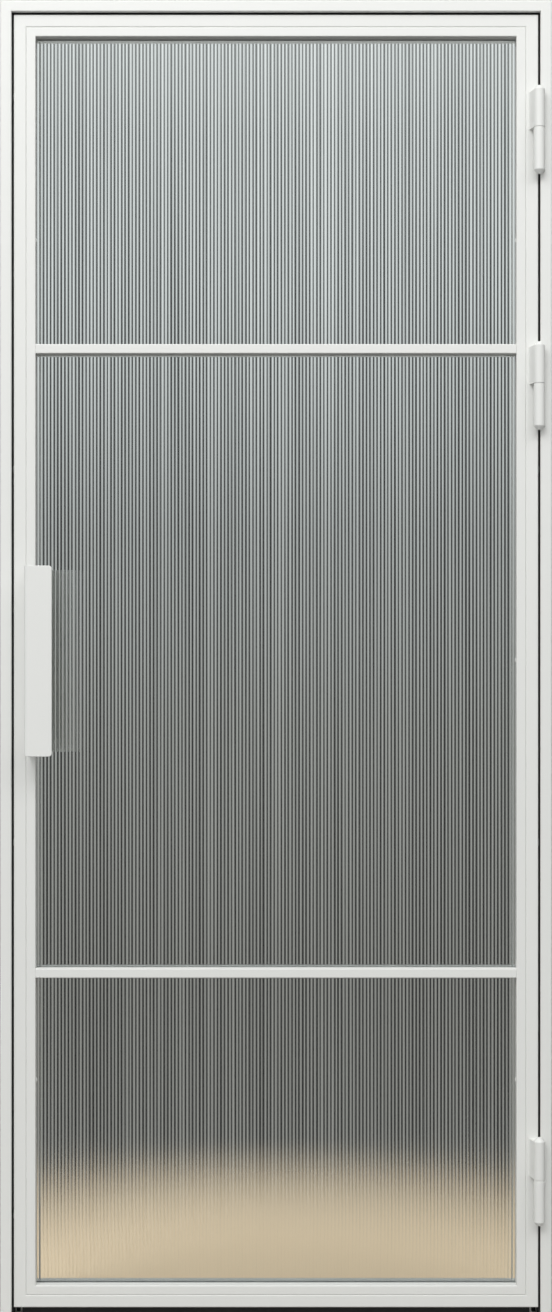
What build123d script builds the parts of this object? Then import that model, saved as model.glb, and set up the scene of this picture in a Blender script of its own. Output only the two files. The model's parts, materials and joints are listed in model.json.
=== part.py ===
# A loft-style interior door: a glazed steel leaf on three lift-off hinges in a slim steel frame.
# Millimetres. X runs along the wall, Y from the pull side to the push side, Z up from the floor.
# The origin is at floor level on the wall face of the hinge jamb, half way through its depth.
# The door reaches from there towards -X, and the leaf swings open towards -Y.

import os
from math import acos, atan2, cos, floor, hypot, sin

from build123d import *

# Frame: tube jambs and head, with a smaller tube behind the leaf as a stop
frame_width = 880
frame_height = 2110
frame_depth = 65
frame_face = 17
frame_wall = 2
frame_edge_radius = 1.5
stop_face = 10
stop_depth = 15
stop_wall = 1.5
stop_edge_radius = 0.8
seal_width = 7
seal_clearance = 0.3

# Fixing screw holes through the jambs, evenly spaced between the lowest and the highest
fixing_radius = 3.5
fixing_count = 4
fixing_from_floor = 163
fixing_from_top = 147
fixing_from_front = 27

# Leaf: a welded ring of tube, with square tubes on both faces to hold the glass
leaf_gap = 3
floor_gap = 20
leaf_set_back = 7
leaf_to_stop = 3
tube_face = 20
tube_depth = 40
tube_wall = 2
tube_edge_radius = 2
bead_size = 15
bead_wall = 1.5
bead_edge_radius = 1.5
lower_bar_from_bead = 500
upper_bar_from_bead = 500

# Fluted glass, and the tape that it is bedded in
glass_thickness = 8
glass_edge_clearance = 2
flute_pitch = 5.7
flute_depth = 1.2
flute_margin = 1
tape_width = 11

# Lift-off hinges, placed by their middles: the lower half is welded to the frame
hinge_from_leaf_top = 189
hinge_pair_spacing = 407.5
hinge_from_leaf_bottom = 206.5
hinge_length = 140
knuckle_radius = 9
hinge_axis_from_frame = 10
hinge_axis_inside_leaf = 1
hinge_tip_radius = 4
hinge_tip_height = 6
leaf_foot_reach = 14.5
frame_foot_reach = 7
frame_foot_inset = 1
pin_radius = 6
pin_length = 110
pin_chamfer = 1
pin_running_clearance = 0.1
pin_end_clearance = 3
ring_radius = 8.3
ring_thickness = 4
ring_clearance = 0.2

# Pull handles: one bent plate on each face of the leaf
handle_height = 300
handle_width = 44
handle_projection = 60
handle_thickness = 4
handle_bend_radius = 6
handle_corner_radius = 5
handle_edge_chamfer = 0.6
handle_centre_height = 1055
handle_from_edge = 24

# Rubber drop seal under the bottom rail
drop_seal_inset = 12
drop_seal_width = 10
drop_seal_drop = 15
drop_seal_lip_radius = 3

# Places that follow from the sizes above
frame_left = -frame_width
frame_front = -frame_depth / 2
opening_left = frame_left + frame_face
opening_right = -frame_face
opening_top = frame_height - frame_face
leaf_left = opening_left + leaf_gap
leaf_right = opening_right - leaf_gap
leaf_top = opening_top - leaf_gap
leaf_front = frame_front + leaf_set_back
leaf_back = leaf_front + tube_depth
leaf_middle = (leaf_front + leaf_back) / 2
stop_front = leaf_back + leaf_to_stop
rebate_left = leaf_left + tube_face
rebate_right = leaf_right - tube_face
rebate_bottom = floor_gap + tube_face
rebate_top = leaf_top - tube_face
glass_front = leaf_middle - glass_thickness / 2
glass_back = leaf_middle + glass_thickness / 2
bar_heights = {
    "lower": rebate_bottom + bead_size + lower_bar_from_bead,
    "upper": rebate_top - bead_size - upper_bar_from_bead,
}
hinge_x = leaf_right - hinge_axis_inside_leaf
hinge_y = frame_front - hinge_axis_from_frame
hinge_heights = {
    "bottom": floor_gap + hinge_from_leaf_bottom,
    "middle": leaf_top - hinge_from_leaf_top - hinge_pair_spacing,
    "top": leaf_top - hinge_from_leaf_top,
}
fixing_spacing = (frame_height - fixing_from_floor - fixing_from_top) / (fixing_count - 1)


def tube_section(face, depth, wall, edge_radius):
    return RectangleRounded(face, depth, edge_radius) - Rectangle(face - 2 * wall, depth - 2 * wall)


def upright(section, x, y, low, high):
    return extrude(Pos(x, y, low) * section, high - low, dir=(0, 0, 1))


def crosspiece(section, left, right, y, z):
    # The section's own x stands upright, and its y keeps pointing to the back.
    lying = Plane(origin=(right, y, z), x_dir=(0, 0, 1), z_dir=(-1, 0, 0))
    return extrude(lying * section, right - left, dir=(-1, 0, 0))


def trimmed(member, *corners):
    # Cuts a member to an outline seen from the front, such as that of its mitres.
    outline = Plane.XZ * Polygon(*corners, align=None)
    return member & extrude(outline, 2 * frame_depth, both=True)


def mitred_ring(section, face, left, right, bottom, top, y):
    # Four tubes round a rectangle, cut at 45 degrees where they meet.
    in_left, in_right = left + face, right - face
    in_bottom, in_top = bottom + face, top - face
    return {
        "strike_side": trimmed(
            upright(section, left + face / 2, y, bottom, top),
            (left, bottom), (in_left, in_bottom), (in_left, in_top), (left, top)),
        "hinge_side": trimmed(
            upright(section, right - face / 2, y, bottom, top),
            (right, bottom), (right, top), (in_right, in_top), (in_right, in_bottom)),
        "bottom": trimmed(
            crosspiece(section, left, right, y, bottom + face / 2),
            (left, bottom), (right, bottom), (in_right, in_bottom), (in_left, in_bottom)),
        "top": trimmed(
            crosspiece(section, left, right, y, top - face / 2),
            (left, top), (in_left, in_top), (in_right, in_top), (right, top)),
    }


def make_frame():
    # The jambs stand square on the floor and meet the head in mitres.
    section = tube_section(frame_face, frame_depth, frame_wall, frame_edge_radius)
    strike_jamb = trimmed(
        upright(section, frame_left + frame_face / 2, 0, 0, frame_height),
        (frame_left, 0), (opening_left, 0), (opening_left, opening_top), (frame_left, frame_height))
    hinge_jamb = trimmed(
        upright(section, -frame_face / 2, 0, 0, frame_height),
        (0, 0), (0, frame_height), (opening_right, opening_top), (opening_right, 0))
    head = trimmed(
        crosspiece(section, frame_left, 0, 0, frame_height - frame_face / 2),
        (frame_left, frame_height), (opening_left, opening_top), (opening_right, opening_top),
        (0, frame_height))
    for number in range(fixing_count):
        hole = crosspiece(
            Circle(fixing_radius), frame_left, 0, frame_front + fixing_from_front,
            fixing_from_floor + number * fixing_spacing)
        strike_jamb -= hole
        hinge_jamb -= hole
    return {"jamb_strike_side": strike_jamb, "jamb_hinge_side": hinge_jamb, "head": head}


def make_stops():
    # The side stops run up to the head, and the top one fits between them.
    section = tube_section(stop_face, stop_depth, stop_wall, stop_edge_radius)
    left, right = opening_left + stop_face / 2, opening_right - stop_face / 2
    y = stop_front + stop_depth / 2
    z = opening_top - stop_face / 2
    return {
        "stop_strike_side": upright(section, left, y, 0, opening_top),
        "stop_hinge_side": upright(section, right, y, 0, opening_top),
        "stop_top": crosspiece(
            section, opening_left + stop_face, opening_right - stop_face, y, z),
    }


def make_seals():
    # Rounded rubber strips on the stops, just short of the closed leaf.
    half_width = seal_width / 2
    crown = ThreePointArc(
        (-half_width, 0), (0, seal_clearance - leaf_to_stop), (half_width, 0))
    section = make_face(crown + Line((half_width, 0), (-half_width, 0)))
    left, right = opening_left + stop_face / 2, opening_right - stop_face / 2
    z = opening_top - stop_face / 2
    return {
        "seal_strike_side": upright(section, left, stop_front, 0, opening_top),
        "seal_hinge_side": upright(section, right, stop_front, 0, opening_top),
        "seal_top": crosspiece(section, left + half_width, right - half_width, stop_front, z),
    }


def make_leaf_ring():
    section = tube_section(tube_face, tube_depth, tube_wall, tube_edge_radius)
    ring = mitred_ring(
        section, tube_face, leaf_left, leaf_right, floor_gap, leaf_top, leaf_middle)
    return {
        "stile_strike_side": ring["strike_side"],
        "stile_hinge_side": ring["hinge_side"],
        "rail_bottom": ring["bottom"],
        "rail_top": ring["top"],
    }


def make_beads():
    # Each face has a mitred ring of square tube, and bars of the same tube across it.
    section = tube_section(bead_size, bead_size, bead_wall, bead_edge_radius)
    faces = {"front": leaf_front + bead_size / 2, "back": leaf_back - bead_size / 2}
    made = {}
    for face, y in faces.items():
        ring = mitred_ring(
            section, bead_size, rebate_left, rebate_right, rebate_bottom, rebate_top, y)
        for place, bead in ring.items():
            made[f"bead_{face}_{place}"] = bead
        for place, height in bar_heights.items():
            made[f"bar_{face}_{place}"] = crosspiece(
                section, rebate_left + bead_size, rebate_right - bead_size, y, height)
    return made


def make_glass():
    # A flat back and upright flutes on the front: one arc for each flute.
    left, right = rebate_left + glass_edge_clearance, rebate_right - glass_edge_clearance
    count = floor((right - left - 2 * flute_margin) / flute_pitch)
    first = (left + right - count * flute_pitch) / 2
    valley = glass_front + flute_depth
    outline = Curve()
    for number in range(count):
        start = first + number * flute_pitch
        end = start + flute_pitch
        outline += ThreePointArc(
            (start, valley), ((start + end) / 2, glass_front), (end, valley))
    last = first + count * flute_pitch
    outline += Polyline(
        (last, valley), (right, valley), (right, glass_back), (left, glass_back),
        (left, valley), (first, valley))
    pane = upright(
        make_face(outline), 0, 0, rebate_bottom + glass_edge_clearance,
        rebate_top - glass_edge_clearance)
    return {"glass_pane": pane}


def make_tapes():
    # Tape lines the beads and the bars, between them and the glass, on both faces.
    left, right = rebate_left + glass_edge_clearance, rebate_right - glass_edge_clearance
    bottom, top = rebate_bottom + glass_edge_clearance, rebate_top - glass_edge_clearance
    width, height = right - left, top - bottom
    middle = Pos((left + right) / 2, (bottom + top) / 2)
    sheet = middle * (Rectangle(width, height) - Rectangle(
        width - 2 * tape_width, height - 2 * tape_width))
    for bar_height in bar_heights.values():
        sheet += Pos((left + right) / 2, bar_height) * Rectangle(width - tape_width, tape_width)
    spaces = {
        "front": (leaf_front + bead_size, glass_front),
        "back": (glass_back, leaf_back - bead_size),
    }
    made = {}
    for face, (near, far) in spaces.items():
        # Plane.XZ looks to the front, so a tape grows forwards from its far side.
        made[f"glazing_tape_{face}"] = extrude(Plane.XZ.offset(-far) * sheet, far - near)
    return made


def hinge_half(foot_far, foot_near, foot_y, joint, tip):
    # A teardrop in plan: the knuckle runs out along a tangent to a foot on the welded face.
    to_foot = (foot_far - hinge_x, foot_y - hinge_y)
    side = 1 if foot_far < hinge_x else -1
    turn = atan2(to_foot[1], to_foot[0]) + side * acos(knuckle_radius / hypot(*to_foot))
    tangent = (hinge_x + knuckle_radius * cos(turn), hinge_y + knuckle_radius * sin(turn))
    foot = Polygon(
        tangent, (foot_far, foot_y), (foot_near, foot_y), (foot_near, hinge_y), align=None)
    # The foot stops where the knuckle starts to taper to its tip.
    up = 1 if tip > joint else -1
    shoulder = tip - up * hinge_tip_height
    low, high = min(joint, shoulder), max(joint, shoulder)
    half = upright(Circle(knuckle_radius), hinge_x, hinge_y, low, high)
    half += upright(foot, 0, 0, low, high)
    taper = Plane(origin=(hinge_x, hinge_y, shoulder), z_dir=(0, 0, up)) * Cone(
        knuckle_radius, hinge_tip_radius, hinge_tip_height,
        align=(Align.CENTER, Align.CENTER, Align.MIN))
    return half + taper


def make_hinges():
    bore_radius = pin_radius + pin_running_clearance
    made = {}
    for place, height in hinge_heights.items():
        pin_foot, pin_tip = height - pin_length / 2, height + pin_length / 2
        ring_top = height + ring_thickness
        socket = upright(Circle(pin_radius), hinge_x, hinge_y, pin_foot, height)
        made[f"hinge_{place}_frame_half"] = hinge_half(
            opening_right + frame_foot_reach, opening_right + frame_foot_inset, frame_front,
            height, height - hinge_length / 2) - socket
        bore = upright(Circle(bore_radius), hinge_x, hinge_y, height, pin_tip + pin_end_clearance)
        made[f"hinge_{place}_leaf_half"] = hinge_half(
            leaf_right - leaf_foot_reach, hinge_x, leaf_front,
            ring_top + ring_clearance, height + hinge_length / 2) - bore
        pin = upright(Circle(pin_radius), hinge_x, hinge_y, pin_foot, pin_tip)
        made[f"hinge_{place}_pin"] = chamfer(pin.edges().sort_by(Axis.Z)[-1], pin_chamfer)
        made[f"hinge_{place}_ring"] = upright(
            Circle(ring_radius) - Circle(bore_radius), hinge_x, hinge_y, height, ring_top)
    return made


def make_handles():
    # The plate stands off the leaf, bent back to it along the side by the stile's outer edge.
    free = handle_projection - handle_thickness
    outline = Polyline(
        (0, 0), (0, handle_projection), (handle_width, handle_projection), (handle_width, free),
        (handle_thickness, free), (handle_thickness, 0), close=True)
    section = make_face(outline)
    outer_bend = section.vertices().sort_by_distance((0, handle_projection))[0]
    section = fillet(outer_bend, handle_bend_radius)
    inner_bend = section.vertices().sort_by_distance((handle_thickness, free))[0]
    section = fillet(inner_bend, handle_bend_radius - handle_thickness)
    plate = extrude(section, handle_height)
    corners = plate.edges().filter_by(Axis.Y).group_by(Axis.X)[-1]
    plate = fillet(corners, handle_corner_radius)
    rims = [face.outer_wire().edges() for face in plate.faces().filter_by(Axis.Y).sort_by(Axis.Y)[-2:]]
    rim_edges = [edge for wire in rims for edge in wire if edge.center().X > handle_bend_radius + 1]
    plate = chamfer(rim_edges, handle_edge_chamfer)
    x = leaf_left + handle_from_edge
    z = handle_centre_height - handle_height / 2
    return {
        "handle_back": Pos(x, leaf_back, z) * plate,
        "handle_front": Pos(x, leaf_front, z) * mirror(plate, about=Plane.XZ),
    }


def make_drop_seal():
    section = Rectangle(drop_seal_drop, drop_seal_width)
    lip = section.vertices().group_by(Axis.X)[0]
    section = fillet(lip, drop_seal_lip_radius)
    return {"drop_seal": crosspiece(
        section, leaf_left + drop_seal_inset, leaf_right - drop_seal_inset, leaf_middle,
        floor_gap - drop_seal_drop / 2)}


parts = {
    **make_frame(),
    **make_stops(),
    **make_seals(),
    **make_hinges(),
    **make_leaf_ring(),
    **make_beads(),
    **make_glass(),
    **make_tapes(),
    **make_handles(),
    **make_drop_seal(),
}

os.makedirs("parts", exist_ok=True)
for name, solid in parts.items():
    solid.label = name
    export_step(solid, f"parts/{name}.step")
print(f"{len(parts)} pieces written")
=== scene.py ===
# Looks of a loft-style interior door: its finishes, the fluted pane, the pulls, the small
# fixings, and a plain studio round it. Metres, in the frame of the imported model.
import json
from math import pi, radians, sin

import bmesh
import bpy
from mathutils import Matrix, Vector


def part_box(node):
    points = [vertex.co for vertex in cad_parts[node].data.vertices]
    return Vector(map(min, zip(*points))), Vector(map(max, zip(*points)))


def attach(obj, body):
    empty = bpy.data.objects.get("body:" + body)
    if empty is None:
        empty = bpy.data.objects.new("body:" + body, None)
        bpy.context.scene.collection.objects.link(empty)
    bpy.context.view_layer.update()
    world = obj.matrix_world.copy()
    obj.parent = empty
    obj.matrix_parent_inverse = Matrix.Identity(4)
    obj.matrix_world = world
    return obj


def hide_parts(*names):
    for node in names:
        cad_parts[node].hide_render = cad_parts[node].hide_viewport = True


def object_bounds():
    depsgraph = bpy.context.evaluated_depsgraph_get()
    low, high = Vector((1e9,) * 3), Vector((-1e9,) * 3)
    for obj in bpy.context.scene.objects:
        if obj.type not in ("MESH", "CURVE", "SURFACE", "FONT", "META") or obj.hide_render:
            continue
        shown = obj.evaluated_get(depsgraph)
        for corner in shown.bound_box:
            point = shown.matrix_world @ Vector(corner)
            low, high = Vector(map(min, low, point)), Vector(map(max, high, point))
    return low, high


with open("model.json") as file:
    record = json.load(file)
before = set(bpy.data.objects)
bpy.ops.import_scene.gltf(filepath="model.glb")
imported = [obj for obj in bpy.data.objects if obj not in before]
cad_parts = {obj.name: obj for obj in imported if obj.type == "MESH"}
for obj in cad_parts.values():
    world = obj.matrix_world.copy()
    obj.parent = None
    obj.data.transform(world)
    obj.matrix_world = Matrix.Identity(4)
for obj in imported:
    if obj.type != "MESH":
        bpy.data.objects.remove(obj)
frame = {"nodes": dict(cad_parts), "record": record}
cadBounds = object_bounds()
nodes = frame["nodes"]
mm = 0.001


# Shader building

class Socket:
    # Wraps a number socket, so that maths on it is written as plain arithmetic.
    def __init__(self, tree, socket):
        self.tree = tree
        self.socket = socket

    def maths(self, operation, first, second=None):
        made = self.tree.nodes.new("ShaderNodeMath")
        made.operation = operation
        for slot, value in zip(made.inputs, (first, second)):
            if isinstance(value, Socket):
                self.tree.links.new(value.socket, slot)
            elif value is not None:
                slot.default_value = value
        return Socket(self.tree, made.outputs[0])

    def __add__(self, other):
        return self.maths("ADD", self, other)

    def __radd__(self, other):
        return self.maths("ADD", other, self)

    def __sub__(self, other):
        return self.maths("SUBTRACT", self, other)

    def __rsub__(self, other):
        return self.maths("SUBTRACT", other, self)

    def __mul__(self, other):
        return self.maths("MULTIPLY", self, other)

    def __rmul__(self, other):
        return self.maths("MULTIPLY", other, self)

    def __pow__(self, power):
        return self.maths("POWER", self, power)

    def __abs__(self):
        return self.maths("ABSOLUTE", self)


class Shader:
    # A node tree that is filled by one method, whatever the node.
    def __init__(self, owner):
        owner.use_nodes = True
        self.tree = owner.node_tree
        self.tree.nodes.clear()

    def node(self, kind, settings=None, sockets=None, out=0):
        made = self.tree.nodes.new("ShaderNode" + kind)
        for name, value in (settings or {}).items():
            if name == "stops":
                self.setStops(made.color_ramp, value)
            else:
                setattr(made, name, value)
        for name, value in (sockets or {}).items():
            if isinstance(value, Socket):
                self.tree.links.new(value.socket, made.inputs[name])
            else:
                made.inputs[name].default_value = value
        return Socket(self.tree, made.outputs[out]) if made.outputs else made

    def setStops(self, ramp, stops):
        while len(ramp.elements) < len(stops):
            ramp.elements.new(1)
        for element, (place, colour) in zip(ramp.elements, stops):
            element.position = place
            element.color = (*colour, 1)

    def place(self, scale=(1, 1, 1)):
        where = self.node("TexCoord", out="Object")
        return self.node("Mapping", sockets={"Vector": where, "Scale": scale})

    def noise(self, place, scale, detail=2, roughness=0.5):
        return self.node(
            "TexNoise",
            sockets={"Vector": place, "Scale": scale, "Detail": detail, "Roughness": roughness})

    def mixed(self, factor, first, second):
        return self.node(
            "Mix", {"data_type": "RGBA"}, {0: factor, 6: first, 7: second}, out=2)

    def ramp(self, factor, *stops):
        return self.node("ValToRGB", {"stops": stops}, {"Fac": factor})

    def bump(self, height):
        # The height is in metres, so the node's own distance is 1.
        return self.node("Bump", sockets={"Height": height, "Distance": 1})

    def smooth(self, value, start, end):
        # 0 at the start, 1 at the end, and a soft step between them.
        return self.node("MapRange", {"interpolation_type": "SMOOTHSTEP"}, {
            "Value": value, "From Min": start, "From Max": end})

    def outputsOf(self, made, *names):
        return (Socket(self.tree, made.socket.node.outputs[name]) for name in names)


def newFinish(name, build, values):
    made = bpy.data.materials.new(name)
    shader = Shader(made)
    surface = build(shader, values)
    shader.node("OutputMaterial", sockets={"Surface": surface})
    return made


def rgba(colour):
    return (*colour, 1)


# White powder coat: satin, with the fine orange peel of a baked coat on steel

powderCoat = {
    "colour": (0.850, 0.857, 0.832),
    "cooler": (0.835, 0.843, 0.822),
    "roughness": 0.40,
    "roughnessSpread": 0.10,
    "patchPerMetre": 2.2,
    "peelPerMetre": 520,
    "peelHeight": 0.018 * mm,
    "specklePerMetre": 2600,
    "speckleHeight": 0.004 * mm,
}


def buildPowderCoat(shader, v):
    where = shader.place()
    patch = shader.noise(where, v["patchPerMetre"], detail=4)
    peel = shader.noise(where, v["peelPerMetre"], detail=2)
    speckle = shader.noise(where, v["specklePerMetre"], detail=1)
    height = peel * v["peelHeight"] + speckle * v["speckleHeight"]
    return shader.node("BsdfPrincipled", sockets={
        "Base Color": shader.mixed(patch, rgba(v["colour"]), rgba(v["cooler"])),
        "Roughness": v["roughness"] + (patch - 0.5) * v["roughnessSpread"],
        "Normal": shader.bump(height),
    })


# Clear pressed glass, with the slow waves that rolling leaves along the flutes

flutedGlass = {
    "colour": (0.93, 0.962, 0.956),
    "greener": (0.905, 0.95, 0.94),
    "roughness": 0.012,
    "smearRoughness": 0.03,
    "smearScale": (3, 3, 1.4),
    "ior": 1.5,
    "waveScale": (170, 60, 0.5),
    "waveHeight": 1.3 * mm,
    "flatBackFrom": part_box("glass_pane")[1].y - 1 * mm,
}


def buildFlutedGlass(shader, v):
    # The waves are in the ribbed face only: the flat back is smooth.
    wave = shader.noise(shader.place(v["waveScale"]), 1, detail=2)
    depth = shader.node("SeparateXYZ", sockets={"Vector": shader.place()}, out=1)
    ribbed = depth.maths("LESS_THAN", depth, v["flatBackFrom"])
    smear = shader.noise(shader.place(v["smearScale"]), 1, detail=5, roughness=0.6)
    return shader.node("BsdfPrincipled", sockets={
        "Base Color": shader.mixed(wave, rgba(v["colour"]), rgba(v["greener"])),
        "Roughness": v["roughness"] + (smear ** 4) * v["smearRoughness"],
        "Transmission Weight": 1.0,
        "IOR": v["ior"],
        "Normal": shader.bump(wave * ribbed * v["waveHeight"]),
    })


# Rubber and foam: matte, with a fine grain and a little dust on the ribs

blackRubber = {
    "colour": (0.018, 0.018, 0.019),
    "dusty": (0.045, 0.044, 0.042),
    "dustPerMetre": 18,
    "roughness": 0.72,
    "roughnessSpread": 0.15,
    "grainPerMetre": 1800,
    "grainHeight": 0.02 * mm,
}

glazingTape = {
    "colour": (0.34, 0.345, 0.345),
    "dusty": (0.40, 0.40, 0.395),
    "dustPerMetre": 18,
    "roughness": 0.85,
    "roughnessSpread": 0.15,
    "grainPerMetre": 2600,
    "grainHeight": 0.04 * mm,
}


def buildRubber(shader, v):
    where = shader.place()
    grain = shader.noise(where, v["grainPerMetre"], detail=3)
    dust = shader.noise(where, v["dustPerMetre"], detail=5, roughness=0.65)
    return shader.node("BsdfPrincipled", sockets={
        "Base Color": shader.mixed(dust ** 2, rgba(v["colour"]), rgba(v["dusty"])),
        "Roughness": v["roughness"] + (grain - 0.5) * v["roughnessSpread"],
        "Specular IOR Level": 0.3,
        "Normal": shader.bump(grain * v["grainHeight"]),
    })


# Turned steel of the hinge pins, with a film of grease

hingeSteel = {
    "colour": (0.60, 0.60, 0.59),
    "greased": (0.36, 0.35, 0.33),
    "greasePerMetre": 160,
    "roughness": 0.28,
    "greaseRoughness": 0.15,
    "turnScale": (40, 40, 5200),
    "turnHeight": 0.006 * mm,
}


def buildHingeSteel(shader, v):
    turned = shader.noise(shader.place(v["turnScale"]), 1, detail=2)
    grease = shader.noise(shader.place(), v["greasePerMetre"], detail=4)
    return shader.node("BsdfPrincipled", sockets={
        "Base Color": shader.mixed(grease ** 2, rgba(v["colour"]), rgba(v["greased"])),
        "Metallic": 1.0,
        "Roughness": v["roughness"] + grease * v["greaseRoughness"],
        "Normal": shader.bump(turned * v["turnHeight"]),
    })


# White nylon of the bearing rings: smooth, slightly waxy

whiteNylon = {
    "colour": (0.86, 0.865, 0.845),
    "worn": (0.78, 0.78, 0.75),
    "wearPerMetre": 220,
    "roughness": 0.36,
    "wearRoughness": 0.1,
    "waxiness": 0.08,
    "waxDepth": (2 * mm, 2 * mm, 1.8 * mm),
    "turnScale": (60, 60, 2400),
    "turnHeight": 0.008 * mm,
}


def buildNylon(shader, v):
    turned = shader.noise(shader.place(v["turnScale"]), 1, detail=2)
    wear = shader.noise(shader.place(), v["wearPerMetre"], detail=4)
    return shader.node("BsdfPrincipled", sockets={
        "Base Color": shader.mixed(wear ** 2, rgba(v["colour"]), rgba(v["worn"])),
        "Roughness": v["roughness"] + wear * v["wearRoughness"],
        "Subsurface Weight": v["waxiness"],
        "Subsurface Radius": v["waxDepth"],
        "Normal": shader.bump(turned * v["turnHeight"]),
    })


finishes = {
    "white_powder_coat": newFinish("whitePowderCoat", buildPowderCoat, powderCoat),
    "fluted_glass": newFinish("flutedGlass", buildFlutedGlass, flutedGlass),
    "black_rubber": newFinish("blackRubber", buildRubber, blackRubber),
    "glazing_tape": newFinish("glazingTape", buildRubber, glazingTape),
    "hinge_steel": newFinish("hingeSteel", buildHingeSteel, hingeSteel),
    "bearing_ring": newFinish("whiteNylon", buildNylon, whiteNylon),
}

for part in frame["record"]["subparts"]:
    node = nodes[part["node"]]
    if not node.material_slots:
        node.data.materials.append(None)
    for materialSlot in node.material_slots:
        materialSlot.material = finishes[part["material_slot"]]


# Modelling helpers

def clearSelection():
    if bpy.context.mode != "OBJECT":
        bpy.ops.object.mode_set(mode="OBJECT")
    bpy.ops.object.select_all(action="DESELECT")


def startPiece(name, addPrimitive, stretch=(1, 1, 1), **settings):
    clearSelection()
    addPrimitive(**settings)
    piece = bpy.context.active_object
    piece.name = name
    piece.data.name = name
    piece.scale = stretch
    bpy.ops.object.transform_apply(location=True, rotation=True, scale=True)
    return piece


def edit(piece):
    clearSelection()
    bpy.context.view_layer.objects.active = piece
    piece.select_set(True)
    bpy.ops.object.mode_set(mode="EDIT")
    bpy.ops.mesh.select_all(action="SELECT")


def pick(piece, kind, test):
    # Selects only the vertices, edges or faces whose middle passes the test, and counts them.
    bpy.ops.mesh.select_mode(type={"verts": "VERT", "edges": "EDGE", "faces": "FACE"}[kind])
    bpy.ops.mesh.select_all(action="DESELECT")
    mesh = bmesh.from_edit_mesh(piece.data)
    picked = 0
    for item in getattr(mesh, kind):
        if kind == "verts":
            middle = item.co
        elif kind == "edges":
            middle = (item.verts[0].co + item.verts[1].co) / 2
        else:
            middle = item.calc_center_median()
        if test(item, middle):
            item.select_set(True)
            picked += 1
    bmesh.update_edit_mesh(piece.data)
    return picked


def near(value, target, tolerance=0.02 * mm):
    return abs(value - target) < tolerance


def applyModifier(piece, kind, **settings):
    clearSelection()
    bpy.context.view_layer.objects.active = piece
    piece.select_set(True)
    made = piece.modifiers.new(kind.title(), kind)
    for name, value in settings.items():
        setattr(made, name, value)
    bpy.ops.object.modifier_apply(modifier=made.name)


def softenEdges(piece, v):
    applyModifier(
        piece, "BEVEL", width=v["edgeRadius"], segments=v["edgeSteps"], limit_method="ANGLE",
        angle_limit=radians(60))


def finishPiece(piece, body, slotName, smoothAngle=35):
    edit(piece)
    bpy.ops.mesh.normals_make_consistent(inside=False)
    clearSelection()
    bpy.context.view_layer.objects.active = piece
    piece.select_set(True)
    bpy.ops.object.shade_smooth_by_angle(angle=radians(smoothAngle))
    piece.data.materials.clear()
    piece.data.materials.append(finishes[slotName])
    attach(piece, body)
    return piece


def copied(piece, name, move=(0, 0, 0), mirrorX=None):
    # A copy with its own mesh, moved, and turned over left to right about a place in X.
    made = piece.copy()
    made.data = piece.data.copy()
    made.name = name
    made.data.name = name
    bpy.context.scene.collection.objects.link(made)
    for vertex in made.data.vertices:
        if mirrorX is not None:
            vertex.co.x = 2 * mirrorX - vertex.co.x
        vertex.co += Vector(move)
    if mirrorX is not None:
        made.data.flip_normals()
    return made


# The pane: flat at the back, upright flutes with slightly rounded valleys at the front

pane = {
    "pitch": 5.7 * mm,
    "depth": 1.2 * mm,
    "margin": 1 * mm,
    "ribFacets": 64,
    "valleyRound": 0.22 * mm,
    "valleySteps": 3,
    "cutTolerance": 0.001 * mm,
    "mergeTolerance": 0.01 * mm,
}


def makePane():
    low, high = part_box("glass_pane")
    pitch, depth = pane["pitch"], pane["depth"]
    count = int((high.x - low.x - 2 * pane["margin"]) / pitch)
    first = (low.x + high.x - count * pitch) / 2
    last = first + count * pitch
    valley, back = low.y + depth, high.y
    radius = (pitch ** 2 / 4 + depth ** 2) / (2 * depth)
    height = high.z - low.z
    piece = startPiece(
        "flutedPane", bpy.ops.mesh.primitive_cylinder_add, vertices=pane["ribFacets"],
        radius=radius, depth=height,
        location=(first + pitch / 2, low.y + radius, (low.z + high.z) / 2))
    # One rib is the slice of the cylinder in front of the valleys, drawn out to the pane's back.
    edit(piece)
    bpy.ops.mesh.bisect(
        plane_co=(0, valley, 0), plane_no=(0, 1, 0), clear_outer=True,
        threshold=pane["cutTolerance"])
    pick(piece, "edges", lambda e, m: near(m.y, valley) and e.is_boundary)
    bpy.ops.mesh.extrude_edges_move(TRANSFORM_OT_translate={"value": (0, back - valley, 0)})
    pick(piece, "edges", lambda e, m: near(m.y, back))
    bpy.ops.mesh.edge_face_add()
    pick(piece, "faces", lambda f, m: abs(f.normal.x) > 0.9 and m.y > valley)
    bpy.ops.mesh.delete(type="FACE")
    applyModifier(
        piece, "ARRAY", count=count, use_relative_offset=False, use_constant_offset=True,
        constant_offset_displace=(pitch, 0, 0), use_merge_vertices=True,
        merge_threshold=pane["mergeTolerance"])
    # The flat margins at both sides are drawn out of the open ends, and closed.
    for end, edge in ((first, low.x), (last, high.x)):
        edit(piece)
        pick(piece, "edges", lambda e, m: near(m.x, end) and e.is_boundary)
        bpy.ops.mesh.extrude_edges_move(TRANSFORM_OT_translate={"value": (edge - end, 0, 0)})
        pick(piece, "edges", lambda e, m: near(m.x, edge) and e.is_boundary)
        bpy.ops.mesh.edge_face_add()
    # The upright edges between the ribs are rounded.
    edit(piece)
    pick(piece, "edges", lambda e, m: near(m.y, valley) and abs(e.verts[0].co.z - e.verts[1].co.z) > 1)
    bpy.ops.mesh.bevel(offset=pane["valleyRound"], segments=pane["valleySteps"])
    clearSelection()
    finishPiece(piece, "leaf", "fluted_glass", smoothAngle=40)
    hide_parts("glass_pane")
    print("pane with", count, "flutes,", len(piece.data.polygons), "faces")


makePane()


# The pulls: one bent plate each, soft along every edge

pull = {
    "thickness": 4 * mm,
    "bendRadius": 6 * mm,
    "bendSteps": 10,
    "cornerRadius": 5 * mm,
    "cornerSteps": 8,
    "edgeRadius": 0.8 * mm,
    "edgeSteps": 3,
}


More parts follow.
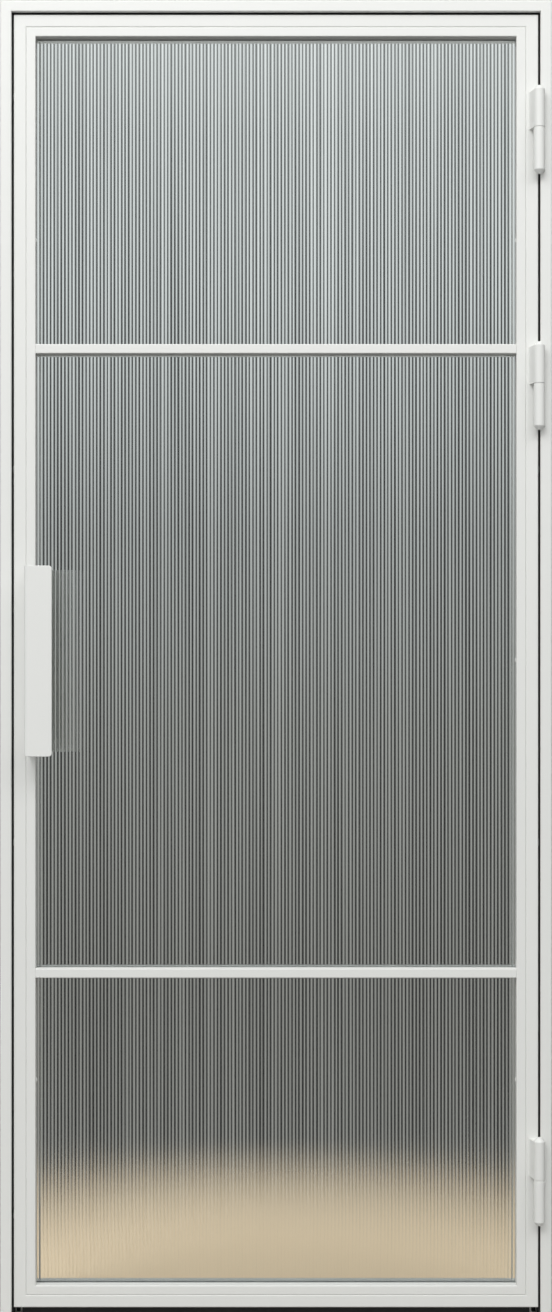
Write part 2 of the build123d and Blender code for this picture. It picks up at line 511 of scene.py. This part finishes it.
def makePull(nodeName, name):
    low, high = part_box(nodeName)
    half = pull["thickness"] / 2
    leafSide, outer = (high.y, low.y) if nodeName.endswith("front") else (low.y, high.y)
    out = 1 if outer > leafSide else -1
    plate = outer - out * half
    # The sheet's middle layer first: a leg that stands on the leaf, and the face bent off it.
    piece = startPiece(
        name, bpy.ops.mesh.primitive_plane_add, size=1,
        location=(low.x + half, (leafSide + plate) / 2, (low.z + high.z) / 2),
        rotation=(0, pi / 2, 0), stretch=(high.z - low.z, abs(plate - leafSide), 1))
    edit(piece)
    pick(piece, "edges", lambda e, m: near(m.y, plate))
    bpy.ops.mesh.extrude_edges_move(
        TRANSFORM_OT_translate={"value": (high.x - low.x - half, 0, 0)})
    pick(piece, "edges", lambda e, m: near(m.y, plate) and near(m.x, low.x + half))
    bpy.ops.mesh.bevel(offset=pull["bendRadius"] - half, segments=pull["bendSteps"])
    pick(piece, "verts", lambda v, m: near(m.x, high.x))
    bpy.ops.mesh.bevel(
        offset=pull["cornerRadius"], segments=pull["cornerSteps"], affect="VERTICES")
    bpy.ops.mesh.select_all(action="SELECT")
    bpy.ops.mesh.normals_make_consistent(inside=False)
    applyModifier(piece, "SOLIDIFY", thickness=pull["thickness"], offset=0)
    softenEdges(piece, pull)
    finishPiece(piece, "leaf", "white_powder_coat", smoothAngle=50)
    # The broad flat faces keep their own normals, so that they shade flat up to the soft edges.
    applyModifier(piece, "WEIGHTED_NORMAL", mode="FACE_AREA", weight=50, keep_sharp=True)
    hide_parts(nodeName)


for face in ("front", "back"):
    makePull("handle_" + face, "pull" + face.title())
print("pulls made")


# Domed heads, of the bead screws and of the caps over the frame screws

domedHead = {
    "rings": 5,
    "insetShare": 0.82,
    "wallShare": 0.45,
    "crownShare": 0.55,
}


def makeDomedHead(name, v, at):
    # A low dome on its side, which looks to +X: the place given is the middle of its flat.
    radius, rise, rings = v["radius"], v["rise"], domedHead["rings"]
    wall = rise * domedHead["wallShare"]
    piece = startPiece(
        name, bpy.ops.mesh.primitive_cylinder_add, vertices=v["facets"], radius=radius,
        depth=wall, location=(at[0] + wall / 2, at[1], at[2]), rotation=(0, pi / 2, 0))
    top = at[0] + wall
    for ring in range(1, rings):
        # Each inset ring rises along the dome.
        edit(piece)
        pick(piece, "faces", lambda f, m: near(m.x, top) and f.normal.x > 0.9 and len(f.verts) > 4)
        bpy.ops.mesh.inset(thickness=radius * domedHead["insetShare"] / rings)
        climb = sin(pi / 2 * ring / (rings - 1)) - sin(pi / 2 * (ring - 1) / (rings - 1))
        lift = rise * domedHead["crownShare"] * climb
        bpy.ops.transform.translate(value=(lift, 0, 0))
        bpy.ops.object.mode_set(mode="OBJECT")
        top += lift
    return piece, top


# Bead screws: small domed heads with a round socket, in the inner sides of the front beads

beadScrew = {
    "radius": 4 * mm,
    "rise": 1.6 * mm,
    "facets": 32,
    "socketRim": 0.13 * mm,
    "socketDepth": 1.0 * mm,
    "fromMiddle": 673 * mm,
    "middleHeight": 1056 * mm,
}


def makeBeadScrews():
    left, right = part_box("bead_front_strike_side"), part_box("bead_front_hinge_side")
    centre = (left[0].x + right[1].x) / 2
    y = (left[0].y + left[1].y) / 2
    v = beadScrew
    heights = {
        "Lower": v["middleHeight"] - v["fromMiddle"],
        "Middle": v["middleHeight"],
        "Upper": v["middleHeight"] + v["fromMiddle"],
    }
    for place, height in heights.items():
        piece, top = makeDomedHead("beadScrewStrike" + place, v, (left[1].x, y, height))
        edit(piece)
        pick(piece, "faces", lambda f, m: near(m.x, top) and len(f.verts) > 4)
        bpy.ops.mesh.inset(thickness=v["socketRim"])
        bpy.ops.mesh.extrude_region_move(
            TRANSFORM_OT_translate={"value": (-v["socketDepth"], 0, 0)})
        finishPiece(piece, "leaf", "white_powder_coat", smoothAngle=50)
        twin = copied(piece, "beadScrewHinge" + place, mirrorX=centre)
        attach(twin, "leaf")


makeBeadScrews()
print("bead screws made")


# The beads' lips: thin painted strips that close the beads and bars on the glass, one ring to
# each of the three lights on each face

beadLip = {
    "reach": 1.9 * mm,
    "offGlass": 0.03 * mm,
    "edgeRadius": 0.15 * mm,
    "edgeSteps": 2,
}


def makeBeadLips():
    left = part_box("bead_front_strike_side")[1].x
    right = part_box("bead_front_hinge_side")[0].x
    lowGlass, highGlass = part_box("glass_pane")
    v = beadLip
    for face in ("front", "back"):
        lowTop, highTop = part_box(f"bead_{face}_top")
        if face == "front":
            start, end = highTop.y, lowGlass.y - v["offGlass"]
        else:
            start, end = highGlass.y + v["offGlass"], lowTop.y
        lower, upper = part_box(f"bar_{face}_lower"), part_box(f"bar_{face}_upper")
        lights = {
            "Lower": (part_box(f"bead_{face}_bottom")[1].z, lower[0].z),
            "Middle": (lower[1].z, upper[0].z),
            "Upper": (upper[1].z, lowTop.z),
        }
        for place, (bottom, top) in lights.items():
            piece = startPiece(
                f"beadLip{face.title()}{place}", bpy.ops.mesh.primitive_plane_add, size=1,
                location=((left + right) / 2, (start + end) / 2, (bottom + top) / 2),
                rotation=(pi / 2, 0, 0),
                stretch=(right - left + 2 * v["reach"], top - bottom + 2 * v["reach"], 1))
            edit(piece)
            bpy.ops.mesh.inset(thickness=v["reach"])
            bpy.ops.mesh.delete(type="FACE")
            applyModifier(piece, "SOLIDIFY", thickness=end - start, offset=0)
            softenEdges(piece, v)
            finishPiece(piece, "leaf", "white_powder_coat")


makeBeadLips()
print("bead lips made")


# The rebate gasket: a thin black strip on the frame's inner sides, from the leaf's face back to
# the stop; its black is painted shade, standing in for the shade deep in the gap round the leaf

gapShadeGasket = {
    "thickness": 0.4 * mm,
    "behindLeafFace": 0.3 * mm,
    "edgeRadius": 0.12 * mm,
    "edgeSteps": 2,
}


def makeGapShadeGasket():
    half = gapShadeGasket["thickness"] / 2
    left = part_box("jamb_strike_side")[1].x + half
    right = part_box("jamb_hinge_side")[0].x - half
    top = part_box("stop_top")[1].z - half
    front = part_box("stile_strike_side")[0].y + gapShadeGasket["behindLeafFace"]
    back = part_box("stop_top")[0].y
    # The strip's middle layer goes up one side, across under the head, and down the other.
    piece = startPiece(
        "rebateShadeGasket", bpy.ops.mesh.primitive_plane_add, size=1,
        location=(left, (front + back) / 2, top / 2), rotation=(0, pi / 2, 0),
        stretch=(top, back - front, 1))
    edit(piece)
    pick(piece, "edges", lambda e, m: near(m.z, top))
    bpy.ops.mesh.extrude_edges_move(TRANSFORM_OT_translate={"value": (right - left, 0, 0)})
    pick(piece, "edges", lambda e, m: near(m.z, top) and near(m.x, right))
    bpy.ops.mesh.extrude_edges_move(TRANSFORM_OT_translate={"value": (0, 0, -top)})
    bpy.ops.mesh.select_all(action="SELECT")
    bpy.ops.mesh.normals_make_consistent(inside=False)
    applyModifier(
        piece, "SOLIDIFY", thickness=gapShadeGasket["thickness"], offset=0, use_even_offset=True)
    softenEdges(piece, gapShadeGasket)
    # The black rubber here is painted shade: it darkens the gap where only shade falls
    finishPiece(piece, "frame", "black_rubber")


makeGapShadeGasket()
print("rebate gasket made")


# Caps over the frame screws, in the jambs' inner sides

frameCap = {
    "radius": 6.5 * mm,
    "rise": 1.4 * mm,
    "facets": 40,
    "heights": (163 * mm, 763 * mm, 1363 * mm, 1963 * mm),
    "fromFront": 27 * mm,
}


def makeFrameCaps():
    left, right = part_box("jamb_strike_side"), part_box("jamb_hinge_side")
    centre = (left[0].x + right[1].x) / 2
    v = frameCap
    for number, height in enumerate(v["heights"], start=1):
        at = (left[1].x, left[0].y + v["fromFront"], height)
        piece = makeDomedHead(f"frameCapStrike{number}", v, at)[0]
        finishPiece(piece, "frame", "white_powder_coat", smoothAngle=50)
        twin = copied(piece, f"frameCapHinge{number}", mirrorX=centre)
        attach(twin, "frame")


makeFrameCaps()
print("frame caps made")


# The studio: a pale floor and a soft surround, two wide lamps before the door and one behind it,
# and the camera

floorLook = {
    "colour": (0.62, 0.595, 0.56),
    # Seen only through the glass: a warmer colour brightened by painted light, and a painted glow
    "throughGlassWithPaintedLight": (0.87, 0.70, 0.505),
    "paintedGlowThroughGlass": (0.19, 0.145, 0.09),
    "bounce": (0.36, 0.345, 0.325),
    "roughness": 0.6,
    "grainPerMetre": 40,
    "grainRoughness": 0.1,
    "smallRim": (0.35, 1.15),  # from the door: where it starts to fade, and where it is gone
    "wideRim": (1.6, 4.2),
    "sides": 96,
}


def makeFloor():
    # A round floor whose rim melts into the surround: a wide one for the eye, and a small one for
    # the glass and for the light that it throws back.
    clearSelection()
    low, high = cadBounds
    v = floorLook
    middle = ((low.x + high.x) / 2, 0, 0)
    bpy.ops.mesh.primitive_circle_add(
        vertices=v["sides"], radius=v["wideRim"][1], fill_type="NGON", location=middle)
    floor = bpy.context.active_object
    floor.name = "studioFloor"
    bpy.ops.object.transform_apply(location=True)
    made = bpy.data.materials.new("studioFloor")
    shader = Shader(made)
    where = shader.node("TexCoord", out="Object")
    fromDoor = shader.node(
        "VectorMath", {"operation": "DISTANCE"}, {0: where, 1: middle}, out=1)
    small, wide = (
        shader.smooth(fromDoor, outer, inner) for inner, outer in (v["smallRim"], v["wideRim"]))
    grain = shader.noise(where, v["grainPerMetre"], detail=3)
    # Seen through the glass it is warmer and brighter, the brightness painted light, and it has a
    # painted glow;
    # it throws less light back on the door.
    direct, bounced, through = shader.outputsOf(
        shader.node("LightPath"), "Is Camera Ray", "Is Diffuse Ray", "Is Transmission Ray")
    # Painted light: the floor is brighter where it is seen through the glass
    seen = shader.mixed(through, rgba(v["colour"]), rgba(v["throughGlassWithPaintedLight"]))
    surface = shader.node("BsdfPrincipled", sockets={
        "Base Color": shader.mixed(bounced, seen, rgba(v["bounce"])),
        "Roughness": v["roughness"] + grain * v["grainRoughness"],
        "Specular IOR Level": 0.2,
        # Painted glow: the floor lights itself where it is seen through the glass, though it is no
        # lamp
        "Emission Color": shader.mixed(through, (0, 0, 0, 1), rgba(v["paintedGlowThroughGlass"])),
        "Emission Strength": 1.0,
        "Alpha": small + (wide - small) * direct,
    })
    shader.node("OutputMaterial", sockets={"Surface": surface})
    floor.data.materials.append(made)


surround = {
    # Stops from low to high, over the height of a direction times riseScale plus riseStart.
    "roomMiddle": (
        (0.24, (0.29, 0.285, 0.27)), (0.44, (0.375, 0.375, 0.36)), (0.60, (0.48, 0.49, 0.485)),
        (0.78, (0.73, 0.755, 0.755)), (1.0, (0.86, 0.88, 0.88))),
    "roomSides": (
        (0.24, (0.010, 0.010, 0.010)), (0.60, (0.014, 0.014, 0.014)),
        (0.78, (0.03, 0.032, 0.032)), (0.90, (0.085, 0.09, 0.09)), (1.0, (0.24, 0.25, 0.25))),
    "backdrop": (
        (0.30, (0.50, 0.485, 0.46)), (0.50, (0.53, 0.53, 0.52)), (0.72, (0.64, 0.645, 0.64)),
        (1.0, (0.80, 0.805, 0.80))),
    "riseScale": 1.5,
    "riseStart": 0.5,
    # Where the middle gives way to the sides, and where the sides end for the glass.
    "asideStep": (0.04, 0.36),
    "wideStep": (0.58, 0.85),
    # The sky that lights what is matt, before the door and behind it.
    "skyTop": (1.06, 1.07, 1.055),
    "skyLevel": (0.53, 0.53, 0.525),
    "skyBelow": (0.20, 0.20, 0.20),
    "behindAbove": (0.12, 0.12, 0.12),
    "behindBelow": (1.30, 1.30, 1.29),
    "belowEnd": -0.6,
    "frontalStep": (0.05, -0.1),
    "skyStrength": 1.15,
    "skyCentre": -0.3,
    "skyFall": 0.45,
}


def makeSurround():
    # The eye sees a plain pale backdrop. Gloss and the fluted glass see a room that is lighter
    # overhead and straight behind the door, and darker to its sides, and from behind, the glass
    # shows the backdrop. Everything else is lit by a plain sky.
    v = surround
    world = bpy.data.worlds.new("studioSurround")
    bpy.context.scene.world = world
    shader = Shader(world)
    where = shader.node("TexCoord", out="Generated")
    x, y, z = shader.outputsOf(
        shader.node("SeparateXYZ", sockets={"Vector": where}), "X", "Y", "Z")
    rise = z * v["riseScale"] + v["riseStart"]
    middle, sides, backdrop = (
        shader.ramp(rise, *v[name]) for name in ("roomMiddle", "roomSides", "backdrop"))
    aside = shader.smooth(abs(x), *v["asideStep"])
    wide = shader.smooth(abs(x), *v["wideStep"])
    above = shader.node("MapRange", sockets={"Value": z, "From Min": 0, "From Max": 1})
    below = shader.node("MapRange", sockets={"Value": z, "From Min": 0, "From Max": v["belowEnd"]})
    sky = shader.mixed(above, rgba(v["skyLevel"]), rgba(v["skyTop"]))
    before = shader.mixed(below, sky, rgba(v["skyBelow"]))
    behind = shader.mixed(below, rgba(v["behindAbove"]), rgba(v["behindBelow"]))
    frontal = shader.smooth(y, *v["frontalStep"])
    lit = shader.node("Background", sockets={
        "Color": shader.mixed(frontal, behind, before),
        "Strength": v["skyStrength"] - abs(x - v["skyCentre"]) * v["skyFall"]})
    direct, glossy, through, bounces = shader.outputsOf(
        shader.node("LightPath"),
        "Is Camera Ray", "Is Glossy Ray", "Is Transmission Ray", "Diffuse Depth")
    toFront = y.maths("LESS_THAN", y, 0)
    fresh = y.maths("LESS_THAN", bounces, 0.5)
    toBackdrop = direct + through * toFront * fresh
    # Light that a matt surface gathers through the glass meets the dark sides only.
    dark = aside.maths("MAXIMUM", aside * (1 - wide * through), through * toFront * (1 - fresh))
    seen = shader.node("Background", sockets={
        "Color": shader.mixed(toBackdrop, shader.mixed(dark, middle, sides), backdrop),
        "Strength": 1.0})
    surface = shader.node("MixShader", sockets={0: direct + glossy + through, 1: lit, 2: seen})
    shader.node("OutputWorld", sockets={"Surface": surface})


lamps = {
    "key": {"at": (-1.8, -3.2, 4.2), "aim": (-0.44, 0, 0.4), "size": (3.2, 1.8), "watts": 94},
    "fill": {"at": (1.3, -3.2, 4.2), "aim": (-0.44, 0, 0.4), "size": (3.2, 1.8), "watts": 40},
    "back": {"at": (-2.0, 4.8, 3.4), "aim": (-0.44, 0, 0.9), "size": (2.4, 1.4), "watts": 110},
}


def makeLamps():
    for name, v in lamps.items():
        data = bpy.data.lights.new(name, "AREA")
        data.shape = "RECTANGLE"
        data.size, data.size_y = v["size"]
        data.energy = v["watts"]
        lamp = bpy.data.objects.new(name, data)
        bpy.context.scene.collection.objects.link(lamp)
        lamp.visible_camera = False
        lamp.visible_transmission = False
        lamp.visible_glossy = name != "back"  # it would glare on the tops of the bars
        lamp.location = v["at"]
        aim = Vector(v["aim"]) - Vector(v["at"])
        lamp.rotation_euler = aim.to_track_quat("-Z", "Y").to_euler()


camera = {
    "distance": 3.0,
    "height": 1.063,
    "lens": 51.54,
    "sensor": 36,
}


def makeCamera():
    low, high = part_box("head")
    data = bpy.data.cameras.new("camera")
    data.lens = camera["lens"]
    data.sensor_width = camera["sensor"]
    made = bpy.data.objects.new("camera", data)
    bpy.context.scene.collection.objects.link(made)
    made.location = ((low.x + high.x) / 2, low.y - camera["distance"], camera["height"])
    made.rotation_euler = (pi / 2, 0, 0)
    bpy.context.scene.camera = made


makeFloor()
makeSurround()
makeLamps()
makeCamera()
bpy.context.scene.view_settings.view_transform = "Standard"
print("studio made")
